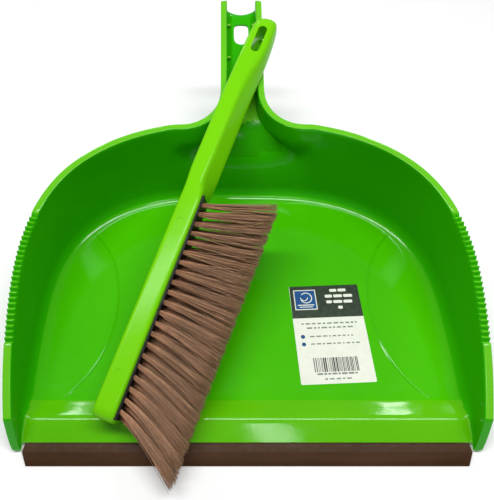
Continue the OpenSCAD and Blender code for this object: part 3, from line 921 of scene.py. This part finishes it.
label_shapes("label_icon_marks", [
    arc_band(icon_u + 1, icon_v + 2, 5.0, 5.9, 200, 500),
    arc_band(icon_u - 1, icon_v + 2.5, 3.0, 3.8, 180, 360),
    bar(icon_u - 8, icon_v - 6.2, icon_u + 8, icon_v - 5.2),
    bar(icon_u - 6.5, icon_v - 8.2, icon_u + 6.5, icon_v - 7.4),
], 0.044, label_white)
title = []
for row, (length, v) in enumerate(((19, 4.2), (23, 10.4), (21, 16.6), (8, 22.8))):
    title += words(11 + row, 13.5 - length / 2, 13.5 + length / 2, hl - v - 1.5, 3.1, gap=1.2)
label_shapes("label_title", title, 0.016, label_white)
lines = words(21, -28, 28, BAND_V - 6, 1.5) + words(22, -22, 22, BAND_V - 10.4, 1.5)
lines += words(23, -20, 24, BAND_V - 19, 1.3, False) + words(24, -20, 26, BAND_V - 26.5, 1.3, False)
lines += words(25, -13, 13, -hl + 4.5, 1.3) + words(26, -20, 20, -hl + 9.2, 1.7, gap=0.9)
label_shapes("label_lines", lines, 0.002, label_grey)
label_shapes("label_dots", [
    rounded_outline(-28.5, BAND_V - 21, -24.5, BAND_V - 17, 2.0, 6),
    rounded_outline(-28.5, BAND_V - 28.5, -24.5, BAND_V - 24.5, 2.0, 6),
], 0.002, label_blue)
rng = random.Random(5)
bars, u = [], -20.0
while u < 19.5:
    width = rng.choice((0.45, 0.45, 0.8, 1.2))
    bars.append([(u, -hl + 11), (u + width, -hl + 11), (u + width, -hl + 24.5), (u, -hl + 24.5)])
    u += width + rng.choice((0.5, 0.8, 1.1))
label_shapes("label_bars", bars, 0.002, label_black)

# ---------------------------------------------------------------- brush frame
YAW, PITCH = math.radians(70.0), math.radians(13.8)
BRUSH_AT = (-115.1, -123.9, 38.6)


def brush_point(x, y, z):
    cp, sp, cy, sy = math.cos(PITCH), math.sin(PITCH), math.cos(YAW), math.sin(YAW)
    x1, z1 = x * cp - z * sp, x * sp + z * cp
    return (BRUSH_AT[0] + x1 * cy - y * sy, BRUSH_AT[1] + x1 * sy + y * cy, BRUSH_AT[2] + z1)


# One row a section: x, middle y, middle z, half height along y, half depth along z, squareness, ridge
SECTIONS = [
    (0.0, 2, -15.5, 7.4, 6.5, 5, 0), (0.5, 2, -15.5, 8.6, 8.6, 5, 0), (1.4, 2, -15.5, 9.4, 10.7, 6, 0),
    (3.0, 2, -15.5, 9.85, 12.7, 8, 0), (5.5, 2, -15.5, 10, 14.3, 9, 0), (9, 2, -15.5, 10, 15.3, 10, 0),
    (13, 2, -15.5, 10, 15.5, 10, 0), (60, 2, -15.5, 10, 15.5, 10, 0), (125, 2, -15.5, 10, 15.5, 10, 0),
    (186, 2, -15.5, 10, 15.5, 10, 0), (203, 2, -15.5, 10, 15.5, 9, 0), (209, 1.7, -15.4, 10.3, 15.4, 7, 0.15),
    (214, 1.0, -15.0, 11.0, 14.8, 8, 0.5), (219, 0.3, -13.9, 11.8, 13.4, 9, 0.85),
    (226, -0.2, -12.2, 12.9, 11.7, 10, 1), (235, -0.4, -11.2, 13.5, 10.7, 10, 1),
    (255, -0.7, -11, 13.5, 10.5, 10, 1), (290, -1.1, -11, 13.5, 10.5, 10, 1),
    (330, -1.6, -11, 13.5, 10.5, 10, 1), (352, -1.9, -11, 13.5, 10.5, 9, 0.8),
    (368, -2.2, -11, 13.5, 10.4, 7, 0.4), (386, -2.5, -11, 13.5, 10.3, 5, 0.15),
    (404, -2.5, -11, 13.4, 9.9, 3.4, 0.1), (412, -2.5, -11, 12.5, 9.0, 3.0, 0.05),
    (416, -2.5, -11, 10.6, 7.6, 2.7, 0), (418.5, -2.5, -11, 8.0, 5.6, 2.5, 0),
]
LOOP = 48
TIP_X = 419.8
FACET_SIDE, FACET_FAR, FACET_NEAR = (-0.92, 0.39), 1.35, 0.57  # the facet's direction, and how near it cuts


def section_ring(x, cy, cz, hy, hz, power, ridge):
    """A rounded section: flat sides, and on the grip a steep facet below the ridge on the bristles' side."""
    sides = [((1, 0), 1.0), ((-1, 0), 1.0), ((0, 1), 1.0), ((0, -1), 1.0)]
    if ridge:
        sides.append((FACET_SIDE, lerp(FACET_FAR, FACET_NEAR, ridge)))
    ring = []
    for i in range(LOOP):
        t = 2 * math.pi * (i + 0.5) / LOOP
        c, s = math.cos(t), math.sin(t)
        r = sum(max(0, (n[0] * c + n[1] * s) / h) ** power for n, h in sides) ** (-1 / power)
        ring.append(brush_point(x, cy + hy * r * c, cz + hz * r * s))
    return ring


def brush_body():
    pts, faces = [], []
    for s in SECTIONS:
        pts += section_ring(*s)
    for i in range(len(SECTIONS) - 1):
        for k in range(LOOP):
            a, b = i * LOOP + k, i * LOOP + (k + 1) % LOOP
            faces.append((a, b, b + LOOP, a + LOOP))
    for end, x in ((0, 0.0), (len(SECTIONS) - 1, TIP_X)):
        _, cy, cz, hy, hz, power, _ = SECTIONS[end]
        rings = [end * LOOP]
        for share in (0.72, 0.4):
            rings.append(len(pts))
            ring_x = x - (0.0 if end else 0.1)
            pts += section_ring(ring_x, cy, cz, hy * share, hz * share, max(power - 2, 2), 0)
        hub = len(pts)
        pts.append(brush_point(x - (0.0 if end else 0.12), cy, cz))
        for r0, r1 in zip(rings, rings[1:]):
            for k in range(LOOP):
                q = (r0 + k, r1 + k, r1 + (k + 1) % LOOP, r0 + (k + 1) % LOOP)
                faces.append(q if end == 0 else q[::-1])
        for k in range(LOOP):
            q = (rings[-1] + k, hub, rings[-1] + (k + 1) % LOOP)
            faces.append(q if end == 0 else q[::-1])
    obj = put("brush_body", pts, faces, brush_plastic)
    turn_outward(obj)
    modify(obj, "SUBSURF", levels=1, render_levels=1)
    bake_modifiers(obj)
    return obj


def prism(name, outline, z0, z1):
    """A cutter: an outline in the brush's x and y, from z0 to z1."""
    n = len(outline)
    pts = [brush_point(x, y, z0) for x, y in outline] + [brush_point(x, y, z1) for x, y in outline]
    faces = [tuple(range(n - 1, -1, -1)), tuple(range(n, 2 * n))]
    faces += [(i, (i + 1) % n, n + (i + 1) % n, n + i) for i in range(n)]
    obj = put(name, pts, faces, brush_plastic, smooth=False)
    turn_outward(obj)
    return obj


def round_ended(x0, x1, y, r, steps=14):
    pts = [(x1 + r * math.cos(math.radians(a)), y + r * math.sin(math.radians(a)))
           for a in [-90 + 180 * i / steps for i in range(steps + 1)]]
    pts += [(x0 + r * math.cos(math.radians(a)), y + r * math.sin(math.radians(a)))
            for a in [90 + 180 * i / steps for i in range(steps + 1)]]
    return pts


def circle(x, y, r, steps=36):
    return [(x + r * math.cos(2 * math.pi * i / steps), y + r * math.sin(2 * math.pi * i / steps))
            for i in range(steps)]


brush = brush_body()
cutters = [
    prism("cut_slot", round_ended(376.5, 400.5, -2.5, 4.5), -40, 10),
    prism("cut_mark_1", circle(38, 2, 3.5), -0.35, 5),
    prism("cut_mark_2", circle(178, 2, 3.5), -0.35, 5),
    prism("cut_pocket", [(3.9, -30), (209.1, -30), (209.1, 0.1), (3.9, 0.1)], -27.55, -3.45),
]
for cutter in cutters:
    modify(brush, "BOOLEAN", operation="DIFFERENCE", object=cutter, solver="EXACT")
bake_modifiers(brush, 38)
for cutter in cutters:
    bpy.data.objects.remove(cutter)
modify(brush, "BEVEL", width=0.35 * MM, segments=2, limit_method="ANGLE", angle_limit=math.radians(50),
       use_clamp_overlap=True)
modify(brush, "WEIGHTED_NORMAL", keep_sharp=True, weight=80)
bake_modifiers(brush)
on(brush, "brush", "lime_plastic", "brush_handle")

# ---------------------------------------------------------------- tufts
TUFTS, PITCH_X, ROW_PITCH, TUFT_X0 = 21, 9.45, 9.0, 11.5
FACE_Y, TRIM_FREE, TRIM_HANDLE = -9.6, 58.5, 66.0
FILAMENTS = 60
TUFT_R, TIP_SPREAD, GOLDEN_TURN = 1.95, 2.35, 2.39996
FILAMENT_R, STRAY_R, STRAY_SHARE = 0.23, 0.15, 0.15
LEAN_FREE, LEAN_HANDLE, HEAD_Z = -29, 14, -15.5
TINT = (0.46, 0.265, 0.155)
ROOT_TINT = (1.45, 1.3, 1.3)  # how much paler a filament is at its root


def filament(pts, faces, tints, path, radius, tint):
    base = len(pts)
    for i, p in enumerate(path):
        r = radius * (1.0 if i < len(path) - 1 else 0.75)
        for k in range(3):
            a = 2 * math.pi * k / 3
            pts.append((p[0] + r * math.cos(a), p[1], p[2] + r * math.sin(a)))
            root = max(0, 1 - i / (len(path) * 0.3))
            tints.append(tuple(lerp(tint[c], tint[c] * ROOT_TINT[c], root) for c in range(3)))
    for i in range(len(path) - 1):
        for k in range(3):
            a, b = base + i * 3 + k, base + i * 3 + (k + 1) % 3
            faces.append((a, b, b + 3, a + 3))
    end = base + (len(path) - 1) * 3
    faces.append((end, end + 1, end + 2))
    faces.append((base + 2, base + 1, base))


def tuft_set(i):
    lean = math.radians(lerp(LEAN_FREE, LEAN_HANDLE, (i - 1) / (TUFTS - 1)))
    trim = lerp(TRIM_FREE, TRIM_HANDLE, (i - 1) / (TUFTS - 1))
    pts, faces, tints = [], [], []
    for row in (-1, 0, 1):
        rng = random.Random(100 * i + row)
        x0 = TUFT_X0 + (i - 1) * PITCH_X - (PITCH_X / 2 if row == 0 else 0)
        z0 = HEAD_Z + row * ROW_PITCH
        for n in range(FILAMENTS):
            r = TUFT_R * math.sqrt((n + 0.5) / FILAMENTS)
            a = n * GOLDEN_TURN + rng.uniform(-0.3, 0.3)
            bx, bz = r * math.cos(a), r * math.sin(a)
            stray = rng.random() < STRAY_SHARE
            spread = rng.gauss(1.0, 0.2) * TIP_SPREAD
            tip_y = FACE_Y - trim + (rng.uniform(0, 1.8) if not stray else rng.uniform(0.5, 7))
            length = FACE_Y + 1.0 - tip_y
            dx = math.tan(lean) * length + bx * (spread - 1) + rng.gauss(0, 0.7)
            dx += rng.uniform(-8, 8) if stray else 0
            dz = bz * (spread - 1) + rng.gauss(0, 0.4) + (rng.gauss(0, 1.5) if stray else 0)
            bow, bow_z = rng.gauss(0, 0.7), rng.gauss(0, 0.5)
            path = []
            for s in (0, 0.18, 0.4, 0.62, 0.82, 1.0):
                curve = s ** 1.25
                arc = 4 * s * (1 - s)
                path.append((x0 + bx + dx * curve + bow * arc, FACE_Y + 1.0 - length * s,
                             z0 + bz + dz * curve + bow_z * arc))
            shade = rng.uniform(1.2, 1.7) if stray else rng.uniform(0.58, 1.28)
            warm = rng.uniform(-0.02, 0.02)
            tint = (TINT[0] * shade + warm, TINT[1] * shade, TINT[2] * shade - warm * 0.5)
            filament(pts, faces, tints, path, STRAY_R if stray else FILAMENT_R, tint)
    obj = put(f"bristles_{i:02d}", [brush_point(*p) for p in pts], faces, bristle_mat)
    layer = obj.data.color_attributes.new("tint", "FLOAT_COLOR", "POINT")
    for item, tint in zip(layer.data, tints):
        item.color = (*[max(c, 0.01) for c in tint], 1)
    on(obj, "brush", "bristles", f"tufts_{i:02d}")


for i in range(1, TUFTS + 1):
    tuft_set(i)

for node, mat in (("tuft_plate", black_mat), ("tuft_anchors", wire_mat)):
    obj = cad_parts[node]
    obj.data.materials.clear()
    obj.data.materials.append(mat)

# ---------------------------------------------------------------- floor
floor_mesh = bpy.data.meshes.new("studio_floor")
STUDIO, BELOW = 4, -0.0002
floor_mesh.from_pydata([(-STUDIO, -STUDIO, BELOW), (STUDIO, -STUDIO, BELOW), (STUDIO, STUDIO, BELOW),
                        (-STUDIO, STUDIO, BELOW)], [], [(0, 1, 2, 3)])
floor_obj = bpy.data.objects.new("studio_floor", floor_mesh)
scene.collection.objects.link(floor_obj)
m = Nodes("floor_paint")
pale = m.ramp(m.noise(3, 2), [(0.3, (0.90, 0.90, 0.90)), (0.7, (0.92, 0.92, 0.92))])
m.link(pale, m.shader.inputs["Base Color"])
m.set(Roughness=0.9)
floor_mesh.materials.append(m.mat)
